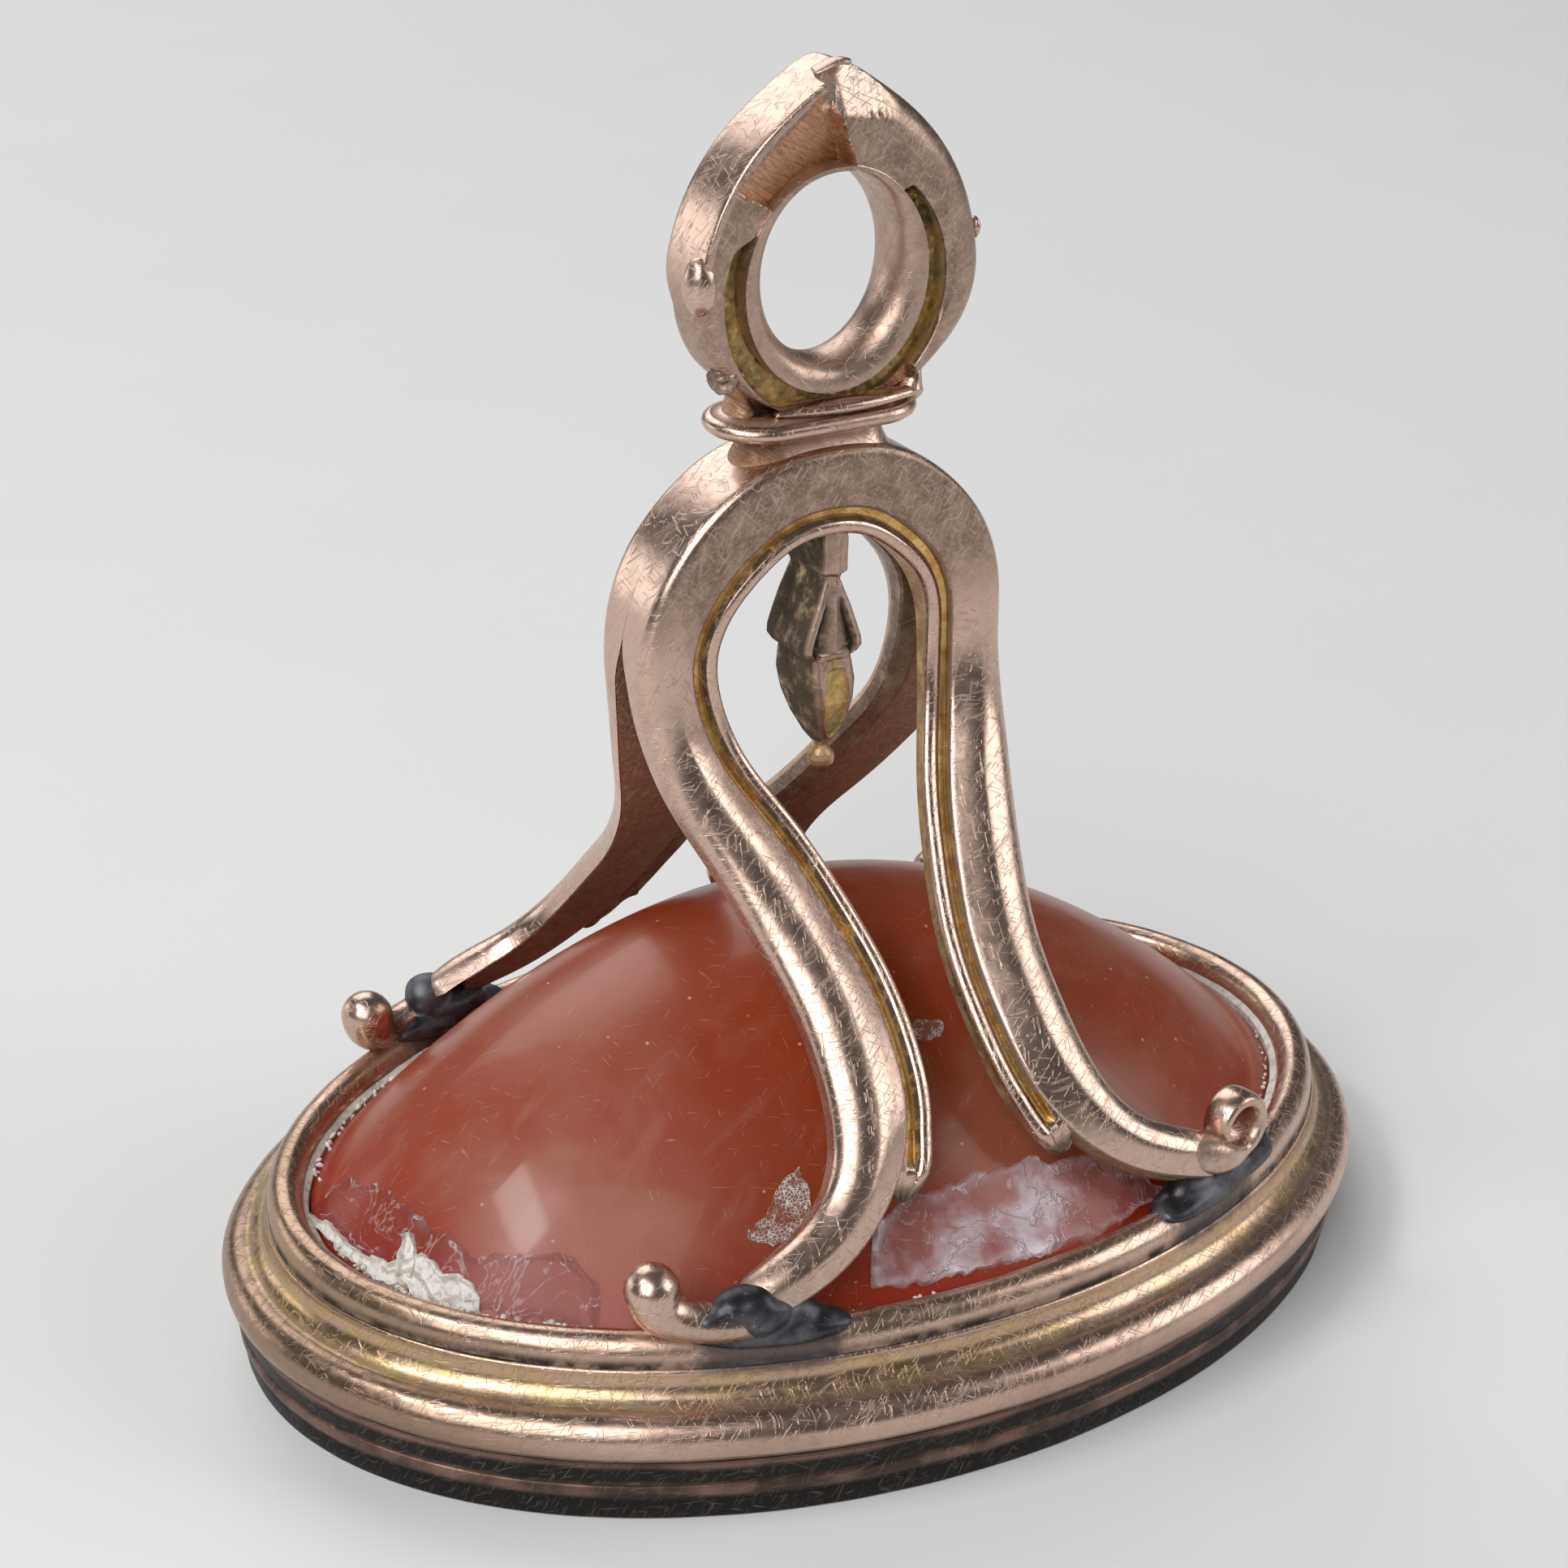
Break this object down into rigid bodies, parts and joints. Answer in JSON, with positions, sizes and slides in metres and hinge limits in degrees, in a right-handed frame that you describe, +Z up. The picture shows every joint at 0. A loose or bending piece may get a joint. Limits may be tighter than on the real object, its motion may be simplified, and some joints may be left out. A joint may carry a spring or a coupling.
{
  "type": "pocket watch fob seal",
  "caption": "Fob seal with a domed oval stone in a moulded base, an open stirrup of crossed loops with a small drop inside, and a pointed ring bow for a watch chain.",
  "frame": {"origin": "middle of the oval base at the face that it rests on", "axes": "+X along the base's long axis, -Y to the front, +Z up to the bow's tip; the bow's hole runs along Y"},
  "size_m": [0.028, 0.02, 0.028],
  "materials": {
    "rolled_gold": "worn polished rolled rose gold",
    "recess_gilt": "unworn yellow gilding with dirt in the recesses",
    "tarnished_band": "dark tarnish",
    "carnelian": "polished translucent orange-brown stone",
    "cement": "matt cement",
    "soft_solder": "dull grey soft solder"
  },
  "bodies": {
    "root": {"seal_rim": "rolled_gold", "bezel_band": "tarnished_band", "bezel_shell": "rolled_gold", "base_core": "soft_solder", "stone_cement": "cement", "setting_collar": "rolled_gold", "seal_stone": "carnelian", "front_arch": "rolled_gold", "front_arch_backing": "recess_gilt", "front_arch_lining": "recess_gilt", "rear_arch": "rolled_gold", "rear_arch_backing": "recess_gilt", "rear_arch_lining": "recess_gilt", "front_left_scroll": "rolled_gold", "front_right_scroll": "rolled_gold", "rear_left_scroll": "rolled_gold", "rear_right_scroll": "rolled_gold", "foot_solder": "soft_solder", "drop_hanger": "rolled_gold", "drop_husk": "recess_gilt", "drop_bud": "recess_gilt", "drop_bead": "rolled_gold", "neck_lower": "rolled_gold", "neck_collar": "rolled_gold", "neck_upper": "soft_solder", "bow_front_shell": "rolled_gold", "bow_rear_shell": "rolled_gold", "bow_liner": "rolled_gold", "bow_studs": "rolled_gold"}
  },
  "joints": []
}
